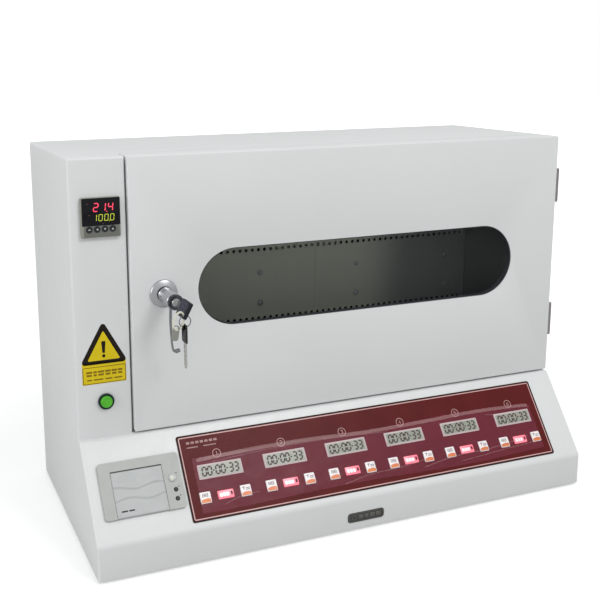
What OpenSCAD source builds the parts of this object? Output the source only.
// Heated shear-adhesion tester: a benchtop oven with a windowed door, a control column on its
// left and a sloping console that times six test stations.
// X runs to the right, Y to the rear and Z up. Every piece is drawn from the cabinet's left
// side, the column's front face and the bench top, and in_frame() then puts the origin at the
// middle of the whole machine's footprint.

/* [Cabinet] */
// Width of the sheet-metal cabinet
body_w = 700; // [694:2:720]
// Depth from the column's front face to the rear panel
body_d = 250; // [250:2:270]
// Height of the sheet-metal cabinet without its feet
body_h = 490; // [486:2:500]
// Thickness of the cabinet's sheet steel
sheet = 1.5; // [1.2:0.1:1.8]
// Width of the control column
column_w = 69; // [67:0.5:70]
// Height of the rubber feet below the base
foot_h = 3; // [2:0.5:6]

/* [Console] */
// How far the console's lip stands in front of the column
lip_out = 86; // [82:1:90]
// Height of the lip's front face
lip_h = 43; // [40:1:46]
// Height of the slope's upper edge above the base
slope_h = 144; // [142:1:145]
// How far the slope's upper edge stands in front of the column
ledge_out = 9; // [8:1:12]

/* [Door] */
// Thickness of the whole door
door_t = 36; // [34:1:36]
// How far the door stands in front of the column
door_proud = 6; // [4:1:8]
// Gap beside and below the closed door
door_gap = 2; // [2:0.5:3]
// Gap behind the closed door, which the seal fills
seal_gap = 3; // [2.5:0.5:4]
// Length of the round-ended window
window_w = 470; // [440:5:480]
// Height of the round-ended window
window_h = 99.5; // [90:0.5:110]
// Depth of the window's glass behind the door's face
glass_depth = 9; // [7:1:10]

/* [Chamber] */
// Width of the heated chamber
chamber_w = 526; // [524:1:528]
// Height of the heated chamber
chamber_h = 250; // [246:2:252]
// Distance from the column's face to the perforated baffle
baffle_y = 140; // [136:1:142]
// Distance between the holes of the baffle
hole_pitch = 9.5; // [9:0.5:12]
// Distance between two test stations
station_pitch = 88.7; // [86:0.1:90]

/* [Controls] */
// Side of the square temperature controller
controller_w = 48; // [48:0.5:50]
// Diameter of the green push-button's cap
button_d = 14.6; // [13:0.1:14.8]
// Side of a square timer key
key_w = 14; // [12:0.5:15]
// Width of the timer displays' frames
lcd_w = 59; // [56:0.5:60]
// Height of the timer displays' frames
lcd_h = 18.5; // [17:0.5:20]

/* [Hidden] */
$fn = 64;
STATIONS = 6;
RACK = [0 : STATIONS - 1];

// Clearances between neighbours
fit = 0.05;
slack = 0.3;

// Heights of the cabinet's edges above the bench
base_z = foot_h;
lip_z = base_z + lip_h;
ledge_z = base_z + slope_h;
top_z = base_z + body_h;

// The console's cross-section
lip_y = -lip_out;
ledge_y = -ledge_out;
slope_a = atan2(ledge_z - lip_z, ledge_y - lip_y);
slope_len = norm([ledge_y - lip_y, ledge_z - lip_z]);

// The door's box and the frame behind it
door_x0 = column_w + door_gap;
door_x1 = body_w;
door_z0 = ledge_z + door_gap;
door_y0 = -door_proud;
door_y1 = door_y0 + door_t;
frame_y = door_y1 + seal_gap;
door_mid = [(door_x0 + door_x1) / 2, (door_z0 + top_z) / 2];
door_size = [door_x1 - door_x0, top_z - door_z0];
door_r = 2.2;

// The chamber, its liner and the air space behind the baffle
liner_t = 1.2;
chamber_x = 390;
chamber_z = base_z + 320;
chamber_x0 = chamber_x - chamber_w / 2;
chamber_x1 = chamber_x + chamber_w / 2;
chamber_z0 = chamber_z - chamber_h / 2;
chamber_z1 = chamber_z + chamber_h / 2;
liner_y0 = frame_y + sheet;
liner_y1 = 195;
row_z = [base_z + 230.5, base_z + 332];
baffle_hole_r = 2.5;
baffle_seam = 0.4;
stud_x = [302, 459, 615];
stud_z = [base_z + 253, base_z + 298];
stud_r = 4;
function station_x(i) = chamber_x + (i - (STATIONS - 1) / 2) * station_pitch;
station_y = 90;
rail_z = base_z + 423;
probe = [640, base_z + 417];

// The fan and the heater
motor_r = 38;
flange_r = 44;
shaft_r = 4;
impeller_r = 55;
impeller_y = [158, 176];
heater_y = 155;
heater_r = 4;
heater_bend = 80;
heater_x = [chamber_x - 160, chamber_x + 160];
terminal_x = [chamber_x - 15, chamber_x + 15];

// The window, its two panes and the inner pan's rectangular opening
window_x = 392;
window_z = chamber_z;
pane_t = 4;
pane_y0 = door_y0 + glass_depth;
inner_w = 522;
inner_h = 160;

// The hinges
hinge_x = body_w + 5.5;
hinge_y = 2.5;
hinge_z = [base_z + 221, base_z + 419];
knuckle_r = 4;
pin_r = 2.2;
hinge_half = 24;
middle_half = 8;

// The lock
lock_x = 112;
lock_z = chamber_z;
barrel_r = 9.5;
barrel_end = door_y0 - 50;
plug_r = 5;
spindle_r = 3.5;
spindle_end = frame_y + 8;
slot_half_w = 8;
slot_z = [lock_z - 8, lock_z + 26];
butt_gap = 0.2;
lever_end = 68;
key_tilt = 28;
key_head_y = [barrel_end - 44, barrel_end - 17];
key_hole = [barrel_end - 40, -6];
key_hole_r = 2.8;
ring_r = 6.8;
wire_r = 0.6;
ring_x = lock_x + key_hole[1] * sin(key_tilt);
ring_top = lock_z + key_hole[1] * cos(key_tilt);
spare_hole_z = ring_top - 2 * ring_r;

// The control column's pieces
controller_x = 37.6;
controller_z = base_z + 419;
controller_proud = 4;
controller_key_z = controller_z - 14;
controller_key_r = 3.8;
controller_key_pitch = 9.4;
button_x = 36.7;
button_z = base_z + 190;
button_r = button_d / 2;

// The slope's pieces, by their distance up the slope from the lip
overlay_x = 389.5;
overlay_s = slope_len / 2 - 1.5;
overlay_size = [540, 108];
overlay_t = 0.8;
lcd_s = 67;
keys_s = 35.5;
key_offset = 26.8;
lamp_size = [21, 10.5];

// The printer, about the middle of its face
printer_x = 65.4;
printer_s = 62.8;
printer_face = [101.5, 68.5];
printer_case = [93.4, 60.4];
printer_depth = 48;
printer_proud = 4;
paper_door_x = [-36.1, 28];
paper_door_s1 = 20.8;
paper_hinge = [-32.6, 2.4];
paper_bay_s = [-28.7, 19.6];
paper_bay_wall = 1.5;
paper_r = 19;
paper_w = 57;
paper_core_w = 59;
paper_axis = [-3.5, 4 - printer_depth + paper_r + fit];
printer_key_x = 40.5;
printer_key_s = [-22.4, -11.3];
printer_key_r = 2.4;

// The power inlet on the rear panel
inlet = [600, base_z + 77];
inlet_flange = [48, 28];
inlet_proud = 3;

// The bounding box's ends, which the origin is the middle of
front_y = key_hole[0] - 9;
rear_y = body_d + inlet_proud;
right_x = hinge_x + knuckle_r;

// The rear panel's screws
rear_screw_at = concat(
    [for (i = [0:5], z = [base_z + 9, top_z - 9]) [10 + i * (body_w - 20) / 5, z]],
    [for (x = [10, body_w - 10], i = [1:2]) [x, base_z + 9 + i * (body_h - 18) / 3]]);

// Helpers

module in_frame() {
    translate([-right_x / 2, -(front_y + rear_y) / 2, 0]) children();
}

module block(lo, hi) {
    translate(lo) cube(hi - lo);
}

// A flat shape drawn in X and Z, from one Y to another
module plate_y(from, to) {
    translate([0, to, 0]) rotate([90, 0, 0]) linear_extrude(to - from) children();
}

// A cross-section drawn in Y and Z, from one X to another
module along_x(from, to) {
    translate([from, 0, 0]) rotate([90, 0, 90]) linear_extrude(to - from) children();
}

module rod_y(x, z, from, to, r) {
    translate([x, from, z]) rotate([-90, 0, 0]) cylinder(r = r, h = to - from);
}

module rod_x(y, z, from, to, r) {
    translate([from, y, z]) rotate([0, 90, 0]) cylinder(r = r, h = to - from);
}

module rounded(size, r) {
    square([size[0] - 2 * r, size[1]], center = true);
    square([size[0], size[1] - 2 * r], center = true);
    for (x = [-1, 1], y = [-1, 1])
        translate([x * (size[0] / 2 - r), y * (size[1] / 2 - r)]) circle(r);
}

module pill(w, h) {
    square([w - h, h], center = true);
    for (side = [-1, 1]) translate([side * (w - h) / 2, 0]) circle(h / 2);
}

module bar(size, height) {
    translate([-size[0] / 2, -size[1] / 2, 0]) cube([size[0], size[1], height]);
}

// Local X along the console, local Y up its slope and local Z straight out of it
module on_slope(x, s) {
    translate([x, lip_y, lip_z]) rotate([slope_a, 0, 0]) translate([0, s, 0]) children();
}

module on_printer() {
    on_slope(printer_x, printer_s) children();
}

// Cabinet

function side_profile(upper_y) = [
    [upper_y, top_z], [body_d, top_z], [body_d, base_z], [lip_y, base_z],
    [lip_y, lip_z], [ledge_y, ledge_z], [upper_y, ledge_z]];

module cabinet_wrap() color("gainsboro") in_frame() {
    along_x(0, sheet) polygon(side_profile(0));
    along_x(body_w - sheet, body_w) polygon(side_profile(frame_y));
    block([sheet, frame_y, top_z - sheet], [body_w - sheet, body_d, top_z]);
    block([sheet, 0, top_z - sheet], [column_w, frame_y, top_z]);
    plate_y(body_d - 2 * sheet, body_d - sheet) difference() {
        translate([sheet, base_z + sheet]) square([body_w - 2 * sheet, body_h - 2 * sheet]);
        translate([18, base_z + 16]) square([body_w - 36, body_h - 32]);
        for (p = rear_screw_at) translate(p) circle(2.1);
    }
}

module column_panel() color("gainsboro") in_frame() difference() {
    union() {
        block([sheet, 0, ledge_z - sheet], [column_w, sheet, top_z - sheet]);
        block([column_w - sheet, 0, ledge_z - sheet], [column_w, frame_y, top_z - sheet]);
    }
    plate_y(-1, sheet + 1) {
        translate([controller_x, controller_z]) square(controller_w - 3, center = true);
        translate([button_x, button_z]) circle(8.1);
    }
}

// The latch stile is four strips butted round the slot that the cam turns in
module door_frame() color("whitesmoke") in_frame() {
    z = [chamber_z0 + liner_t, chamber_z1 - liner_t];
    stile = [column_w - sheet, chamber_x0 + liner_t];
    slot_x = [lock_x - slot_half_w, lock_x + slot_half_w];
    difference() {
        union() {
            block([stile[0], frame_y, ledge_z - sheet], [body_w - sheet, liner_y0, top_z - sheet]);
            block([column_w, 0, ledge_z - sheet], [body_w - sheet, frame_y, ledge_z]);
        }
        block([stile[0] - 1, frame_y - 1, z[0]], [chamber_x1 - liner_t, liner_y0 + 1, z[1]]);
    }
    for (b = [[stile[0], stile[1], z[0] + butt_gap, slot_z[0]],
              [stile[0], slot_x[0], slot_z[0] + butt_gap, slot_z[1] - butt_gap],
              [slot_x[1], stile[1], slot_z[0] + butt_gap, slot_z[1] - butt_gap],
              [stile[0], stile[1], slot_z[1], z[1] - butt_gap]])
        block([b[0], frame_y, b[2]], [b[1], liner_y0, b[3]]);
}

// The slope's underside lies one sheet thickness below it, square to the slope
function under_slope(y) =
    lip_z + (y - lip_y) * tan(slope_a) - sheet / cos(slope_a);
function under_slope_y(z) =
    lip_y + (z - lip_z + sheet / cos(slope_a)) / tan(slope_a);

module console_panel() color("gainsboro") in_frame() difference() {
    along_x(sheet, body_w - sheet) polygon([
        [0, ledge_z], [ledge_y, ledge_z], [lip_y, lip_z], [lip_y, base_z],
        [lip_y + sheet, base_z], [lip_y + sheet, under_slope(lip_y + sheet)],
        [under_slope_y(ledge_z - sheet), ledge_z - sheet], [0, ledge_z - sheet]]);
    on_printer() translate([0, 0, -5]) bar(printer_case + [0.6, 0.6], 10);
    for (i = RACK) {
        on_slope(station_x(i), lcd_s) translate([0, 0, -5]) bar([lcd_w - 2, lcd_h - 2], 10);
        on_slope(station_x(i), keys_s) {
            translate([0, 0, -5]) bar(lamp_size - [2, 2], 10);
            for (side = [-1, 1])
                translate([side * key_offset, 0, -5]) cylinder(r = 3.4, h = 10);
        }
    }
}

module base_plate() color("gainsboro") in_frame() difference() {
    block([sheet, lip_y + sheet, base_z], [body_w - sheet, body_d, base_z + sheet]);
    for (i = [0:9])
        block([240 + i * 22, 60, base_z - 1], [246 + i * 22, 130, base_z + sheet + 1]);
}

module rear_panel() color("gainsboro") in_frame() difference() {
    block([sheet, body_d - sheet, base_z + sheet], [body_w - sheet, body_d, top_z - sheet]);
    plate_y(body_d - 10, body_d + 1) {
        translate(inlet) square([28, 20.5], center = true);
        for (x = [150, 390], i = [0:13])
            translate([x - 78 + i * 12, base_z + 77]) pill_up(5, 60);
        for (p = rear_screw_at) translate(p) circle(2.1);
    }
}

module pill_up(w, h) {
    rotate(90) pill(h, w);
}

module feet() color("dimgray") in_frame() {
    for (x = [42, body_w - 42], y = [-56, body_d - 32])
        translate([x, y, 0]) cylinder(r = 14, h = foot_h);
}

module screws() color("silver") in_frame() {
    for (p = rear_screw_at) {
        rod_y(p[0], p[1], body_d, body_d + 2, 3.8);
        rod_y(p[0], p[1], body_d - 8, body_d, 2);
    }
    for (x = stud_x, z = stud_z) {
        rod_y(x, z, baffle_y - 2, baffle_y, 4.5);
        rod_y(x, z, baffle_y, baffle_y + 10, 2);
    }
}

module power_inlet() color("black") in_frame() {
    difference() {
        union() {
            plate_y(body_d, rear_y) translate(inlet) rounded(inlet_flange, 5);
            plate_y(body_d - 18, body_d) translate(inlet) square([27.4, 20], center = true);
        }
        plate_y(body_d - 14, rear_y + 1) translate(inlet) square([24, 16.6], center = true);
    }
    for (x = [-7, 0, 7])
        translate([inlet[0] + x, 0, inlet[1] + (x == 0 ? 3 : 1)])
            block([-1, body_d - 14, -2], [1, body_d + 1, 2]);
}

// Chamber

module chamber_liner() color("silver") in_frame() difference() {
    union() {
        difference() {
            block([chamber_x0, liner_y0, chamber_z0], [chamber_x1, liner_y1, chamber_z1]);
            block([chamber_x0 + liner_t, liner_y0 - 1, chamber_z0 + liner_t],
                  [chamber_x1 - liner_t, liner_y1 - liner_t, chamber_z1 - liner_t]);
        }
        for (x = stud_x, z = stud_z) rod_y(x, z, baffle_y + liner_t, liner_y1, stud_r);
    }
    for (x = stud_x, z = stud_z) rod_y(x, z, baffle_y, baffle_y + 14, 2.1);
    rod_y(chamber_x, chamber_z, liner_y1 - 5, liner_y1 + 1, shaft_r + 2);
    for (x = terminal_x)
        rod_y(x, chamber_z - heater_bend, liner_y1 - 5, liner_y1 + 1, heater_r + 1);
    rod_y(probe[0], probe[1], liner_y1 - 5, liner_y1 + 1, 3);
}

module baffle_panels() color("lightgray") in_frame() {
    inset = liner_t + slack;
    mid = chamber_x;
    for (side = [-1, 1]) plate_y(baffle_y, baffle_y + liner_t) difference() {
        translate([side < 0 ? chamber_x0 + inset : mid + baffle_seam / 2, chamber_z0 + inset])
            square([chamber_w / 2 - inset - baffle_seam / 2, chamber_h - 2 * inset]);
        for (k = [0 : floor(chamber_w / 2 / hole_pitch) - 1], z = row_z)
            translate([mid + side * (k + 0.5) * hole_pitch, z]) circle(baffle_hole_r);
        for (x = stud_x, z = stud_z) translate([x, z]) circle(2.1);
        translate(probe) circle(3.2);
    }
}

module insulation() color("khaki") in_frame() {
    gap = 0.5;
    rear = body_d - 10;
    x0 = column_w + 1;
    x1 = body_w - sheet - gap;
    block([x0, liner_y0 + gap, chamber_z1 + gap], [x1, rear, top_z - sheet - gap]);
    block([x0, liner_y0 + gap, ledge_z + 3], [x1, rear, chamber_z0 - gap]);
    block([x0, spindle_end + 9, chamber_z0], [chamber_x0 - gap, rear, chamber_z1]);
    block([chamber_x1 + gap, liner_y0 + gap, chamber_z0], [x1, rear, chamber_z1]);
    difference() {
        block([chamber_x0, liner_y1 + gap, chamber_z0], [chamber_x1, rear, chamber_z1]);
        rod_y(chamber_x, chamber_z, liner_y1, body_d, flange_r + 1.5);
        for (x = terminal_x)
            rod_y(x, chamber_z - heater_bend, liner_y1, body_d, heater_r + 2);
        rod_y(probe[0], probe[1], liner_y1, body_d, 4);
    }
}

module fan_motor() color("darkgray") in_frame() difference() {
    union() {
        rod_y(chamber_x, chamber_z, liner_y1, liner_y1 + 3, flange_r);
        rod_y(chamber_x, chamber_z, liner_y1, liner_y1 + 48, motor_r);
    }
    rod_y(chamber_x, chamber_z, liner_y1 - 1, liner_y1 + 37, shaft_r + fit);
}

module fan_impeller() color("silver") in_frame() {
    rod_y(chamber_x, chamber_z, impeller_y[0], liner_y1 + 33, shaft_r);
    rod_y(chamber_x, chamber_z, impeller_y[0], impeller_y[1] + 2, 10);
    rod_y(chamber_x, chamber_z, impeller_y[1], impeller_y[1] + 2, impeller_r);
    translate([chamber_x, 0, chamber_z])
        for (turn = [0:45:315]) rotate([0, turn, 0])
            block([8, impeller_y[0], -1], [impeller_r - 1, impeller_y[1], 1]);
}

// A sheathed element bent into a long loop whose two ends turn back through the rear wall
module heater() color("dimgray") in_frame() {
    low = chamber_z - heater_bend;
    rod_x(heater_y, chamber_z + heater_bend, heater_x[0], heater_x[1], heater_r);
    rod_x(heater_y, low, heater_x[0], terminal_x[0], heater_r);
    rod_x(heater_y, low, terminal_x[1], heater_x[1], heater_r);
    for (end = [0, 1])
        translate([heater_x[end], heater_y, chamber_z]) rotate([90, 0, 0])
            rotate(end == 0 ? 90 : -90) rotate_extrude(angle = 180)
                translate([heater_bend, 0]) circle(heater_r);
    for (x = terminal_x) {
        translate([x, heater_y, low]) sphere(heater_r);
        rod_y(x, low, heater_y, liner_y1 + 45, heater_r);
    }
}

module temperature_probe() color("silver") in_frame() {
    rod_y(probe[0], probe[1], 110, liner_y1 + 45, 2.5);
}

module hanger_rail() color("silver") in_frame() {
    block([chamber_x0 + liner_t, station_y - 6, rail_z],
          [chamber_x1 - liner_t, station_y + 6, rail_z + 12]);
    for (i = RACK) translate([station_x(i), station_y, rail_z - 18]) {
        cylinder(r = 2.5, h = 18);
        sphere(2.5);
        rod_y(0, 0, -12, 0, 2.5);
        translate([0, -12, 0]) sphere(2.5);
        translate([0, -12, 0]) cylinder(r = 2.5, h = 7);
    }
}

module drop_sensors() color("darkslategray") in_frame() {
    for (i = RACK) translate([station_x(i), station_y, chamber_z0 + liner_t]) {
        bar([34, 24], 10);
        translate([0, 0, 10]) cylinder(r = 9, h = 3);
    }
}

// Control column

module controller_case() color("gray") in_frame() difference() {
    translate([controller_x, 0, controller_z]) {
        plate_y(-controller_proud, 0) rounded([controller_w, controller_w], 2);
        plate_y(0, 66) square(controller_w - 3.5, center = true);
    }
    translate([controller_x, 0, controller_z])
        block([-20.5, -controller_proud - 1, -9.6], [22.5, 1 - controller_proud, 20.8]);
    for (i = [0:3])
        rod_y(controller_key_x(i), controller_key_z, -5, -0.5, controller_key_r + slack);
}

function controller_key_x(i) = controller_x + (i - 1.5) * controller_key_pitch;

module controller_key(i) color("lightgray") in_frame() {
    rod_y(controller_key_x(i - 1), controller_key_z, -4.8, -1.8, controller_key_r);
}

module button_bezel() color("dimgray") in_frame() difference() {
    union() {
        rod_y(button_x, button_z, -3, 0, 10);
        rod_y(button_x, button_z, 0, 26, 8);
    }
    rod_y(button_x, button_z, -4, 20, button_r + slack);
}

module power_button() color("limegreen") in_frame() {
    rod_y(button_x, button_z, -5.5, 12, button_r);
}

module hazard_label() color("gold") in_frame() {
    plate_y(-0.4, 0) {
        translate([36, base_z + 240]) polygon([[-27, 0], [27, 0], [0, 49]]);
        translate([36, base_z + 225]) square([55, 22], center = true);
    }
}

// Console

module timer_overlay() color("maroon") in_frame() difference() {
    on_slope(overlay_x, overlay_s) linear_extrude(overlay_t) rounded(overlay_size, 3);
    for (i = RACK) {
        on_slope(station_x(i), lcd_s) translate([0, 0, -1]) bar([lcd_w, lcd_h], 3);
        on_slope(station_x(i), keys_s) translate([0, 0, -1]) {
            bar(lamp_size, 3);
            for (side = [-1, 1]) translate([side * key_offset, 0, 0])
                bar([key_w + 2 * slack, key_w + 2 * slack], 3);
        }
    }
}

module timer_displays() color("lavenderblush") in_frame() {
    for (i = RACK) on_slope(station_x(i), lcd_s) {
        bar([lcd_w, lcd_h], 1);
        translate([0, 0, -8]) bar([lcd_w - 3, lcd_h - 3], 8);
    }
}

module timer_lamps() color("red") in_frame() {
    for (i = RACK) on_slope(station_x(i), keys_s) {
        bar(lamp_size, 1.2);
        translate([0, 0, -6]) bar(lamp_size - [3, 3], 6);
    }
}

module timer_key(i, side) color("white") in_frame() {
    on_slope(station_x(i - 1) + side * key_offset, keys_s) {
        translate([0, 0, 0.7]) linear_extrude(1.3) rounded([key_w, key_w], 1);
        translate([0, 0, -5]) cylinder(r = 3, h = 6);
    }
}

module timer_board() color("darkgreen") in_frame() {
    on_slope(overlay_x, overlay_s) {
        translate([0, 0, -14]) bar([530, 96], 1.6);
        for (i = RACK) translate([station_x(i) - overlay_x, -18, -30]) bar([19, 15], 16);
        translate([-60, 22, -38]) bar([70, 40], 24);
        translate([120, 22, -26]) bar([40, 28], 12);
    }
}

module name_plate() color("dimgray") in_frame() {
    plate_y(lip_y - 1, lip_y) translate([354.8, base_z + 16.5]) rounded([53, 13], 4);
}

// Printer

module printer_body() color("silver") in_frame() on_printer() difference() {
    union() {
        linear_extrude(printer_proud) rounded(printer_face, 4);
        translate([0, 0, -printer_depth]) bar(printer_case, printer_depth);
        translate([38.5, 3.4, 0]) cylinder(r = 5, h = printer_proud + 0.6);
    }
    block([paper_door_x[0] - 0.4, -printer_face[1] / 2 - 1, 0],
          [paper_door_x[1] + 0.4, paper_door_s1 + 1.6, printer_proud + 1]);
    block([paper_door_x[0] + paper_bay_wall, paper_bay_s[0], 4 - printer_depth],
          [paper_door_x[1] - paper_bay_wall, paper_bay_s[1], printer_proud]);
    rod_x(paper_hinge[0], paper_hinge[1], paper_door_x[0] - 2.6, paper_door_x[1] + 2.6, 1.25);
    for (s = printer_key_s)
        translate([printer_key_x, s, 1]) cylinder(r = printer_key_r + slack, h = 9);
}

module paper_door() color("gainsboro") in_frame() on_printer() {
    block([paper_door_x[0], paper_hinge[0], 0.8], [paper_door_x[1], paper_door_s1, 4]);
    rod_x(paper_hinge[0], paper_hinge[1], paper_door_x[0], paper_door_x[1], 1.6);
    rod_x(paper_hinge[0], paper_hinge[1], paper_door_x[0] - 2.4, paper_door_x[1] + 2.4, 1.2);
}

module paper_roll() color("white") in_frame() on_printer() difference() {
    middle = (paper_door_x[0] + paper_door_x[1]) / 2;
    rod_x(paper_axis[0], paper_axis[1], middle - paper_w / 2, middle + paper_w / 2, paper_r);
    rod_x(paper_axis[0], paper_axis[1], middle - paper_core_w / 2, middle + paper_core_w / 2, 6.5);
}

module printer_key(s) color("black") in_frame() on_printer() {
    translate([printer_key_x, s, 2.6]) cylinder(r = printer_key_r, h = 2.2);
}

// Door

module door_outline(inset) {
    translate(door_mid) rounded(door_size - 2 * [inset, inset], door_r - inset);
}

module door_skin() color("gainsboro") in_frame() difference() {
    union() {
        difference() {
            plate_y(door_y0, door_y1 - sheet) door_outline(0);
            plate_y(door_y0 + sheet, door_y1) door_outline(sheet);
        }
        plate_y(door_y0 + sheet / 2, pane_y0) translate([window_x, window_z])
            pill(window_w + 2 * sheet, window_h + 2 * sheet);
    }
    plate_y(door_y0 - 1, door_y1) translate([window_x, window_z]) pill(window_w, window_h);
    rod_y(lock_x, lock_z, door_y0 - 1, door_y1, spindle_r + 1);
}

module door_pan() color("whitesmoke") in_frame() difference() {
    union() {
        plate_y(door_y1 - sheet, door_y1) door_outline(0);
        plate_y(pane_y0 + pane_t, door_y1) translate([window_x, window_z])
            square([inner_w + 2 * liner_t, inner_h + 2 * liner_t], center = true);
    }
    plate_y(0, door_y1 + 1) translate([window_x, window_z])
        square([inner_w, inner_h], center = true);
    rod_y(lock_x, lock_z, 0, door_y1 + 1, spindle_r + 1);
}

module window_glass() color("lightblue", 0.4) in_frame() {
    plate_y(pane_y0, pane_y0 + pane_t) translate([window_x, window_z])
        square([inner_w + 2 * liner_t, inner_h + 2 * liner_t], center = true);
    plate_y(door_y1 - 6, door_y1 - 2) translate([window_x, window_z])
        square([inner_w - 0.4, inner_h - 0.4], center = true);
}

module door_seal() color("dimgray") in_frame() plate_y(door_y1 + 0.2, frame_y) {
    difference() {
        translate([chamber_x, chamber_z]) rounded([chamber_w + 13, chamber_h + 13], 5);
        translate([chamber_x, chamber_z]) square([chamber_w + 1, chamber_h + 1], center = true);
    }
}

// The fixed leaf, with the middle knuckle and the pin
module hinge_brackets() color("rosybrown") in_frame() {
    for (z = hinge_z) {
        translate([hinge_x, hinge_y, z - hinge_half]) cylinder(r = pin_r, h = 2 * hinge_half);
        translate([hinge_x, hinge_y, z - middle_half])
            cylinder(r = knuckle_r, h = 2 * middle_half);
        block([body_w + 1.2, hinge_y, z - middle_half], [body_w + 3.7, 40, z + middle_half]);
        block([body_w, 38, z - hinge_half], [body_w + 3.7, 70, z + hinge_half]);
    }
}

// The door's leaf, with the upper and lower knuckles
module hinge_knuckles() color("rosybrown") in_frame() difference() {
    for (z = hinge_z, low = [z - hinge_half, z + middle_half + 0.2]) {
        high = low + hinge_half - middle_half - 0.2;
        translate([hinge_x, hinge_y, low]) cylinder(r = knuckle_r, h = high - low);
        block([body_w, hinge_y - 1.2, low], [hinge_x, hinge_y + 1.2, high]);
        block([body_w, hinge_y - 1.2, low], [body_w + 2.5, door_y1 - 3, high]);
    }
    for (z = hinge_z)
        translate([hinge_x, hinge_y, z - 30]) cylinder(r = pin_r + fit, h = 60);
}

// Lock

module lock_rosette() color("silver") in_frame() {
    translate([lock_x, door_y0, lock_z]) rotate([90, 0, 0]) rotate_extrude()
        polygon([[barrel_r + fit, 0], [17.5, 0], [17.5, 2], [16.4, 4.2], [13.8, 6.6],
                 [barrel_r + fit, 8]]);
}

// The barrel turns with its lever, and its spindle carries the latch cam
module lock_barrel() color("silver") in_frame() translate([lock_x, 0, lock_z]) difference() {
    union() {
        rod_y(0, 0, barrel_end, door_y0, barrel_r);
        rod_y(0, 0, door_y0, spindle_end, spindle_r);
        block([-1.25, door_y0 - 34, -lever_end], [1.25, door_y0 - 28, -barrel_r + 2]);
        block([-1.25, door_y0 - 34, -lever_end], [10, door_y0 - 28, 2.5 - lever_end]);
    }
    rod_y(0, 0, barrel_end - 1, barrel_end + 30, plug_r + fit);
}

module latch_cam() color("darkgray") in_frame() translate([lock_x, 0, lock_z])
    plate_y(spindle_end - 5, spindle_end - 2) difference() {
        union() {
            circle(7);
            translate([-5, 0]) square([10, 24]);
        }
        circle(spindle_r + fit);
    }

module door_key() color("midnightblue") in_frame() translate([lock_x, 0, lock_z]) {
    rod_y(0, 0, barrel_end - 0.5, barrel_end + 29, plug_r);
    rotate([0, key_tilt, 0]) {
        block([-1.1, key_head_y[1] - 2, -4], [1.1, barrel_end + 1, 4]);
        difference() {
            block([-1.5, key_head_y[0], -10], [1.5, key_head_y[1], 10]);
            rod_x(key_hole[0], key_hole[1], -2, 2, key_hole_r);
        }
    }
}

module key_ring() color("silver") in_frame() {
    translate([ring_x, key_hole[0], ring_top - ring_r]) rotate([90, 0, 0])
        rotate_extrude() translate([ring_r, 0]) circle(wire_r, $fn = 24);
}

module spare_key() color("black") in_frame() translate([ring_x, key_hole[0], spare_hole_z]) {
    difference() {
        block([-1.5, -9, -18], [1.5, 9, 4.2]);
        rod_x(0, 0, -2, 2, key_hole_r);
    }
    block([-1.1, -3.5, -49], [1.1, 3.5, -18]);
}

cabinet_wrap();
column_panel();
door_frame();
console_panel();
base_plate();
rear_panel();
chamber_liner();
baffle_panels();
insulation();
fan_motor();
fan_impeller();
heater();
temperature_probe();
hanger_rail();
drop_sensors();
controller_case();
button_bezel();
power_button();
hazard_label();
printer_body();
paper_door();
paper_roll();
printer_key(printer_key_s[1]);  // feed_key
printer_key(printer_key_s[0]);  // select_key
timer_overlay();
timer_displays();
timer_lamps();
timer_board();
name_plate();
feet();
power_inlet();
hinge_brackets();
door_seal();
screws();
door_skin();
door_pan();
window_glass();
hinge_knuckles();
lock_rosette();
lock_barrel();
latch_cam();
door_key();
key_ring();
spare_key();
for (i = [1:4])
    controller_key(i);
for (i = [1:STATIONS]) {
    timer_key(i, -1);
    timer_key(i, 1);
}
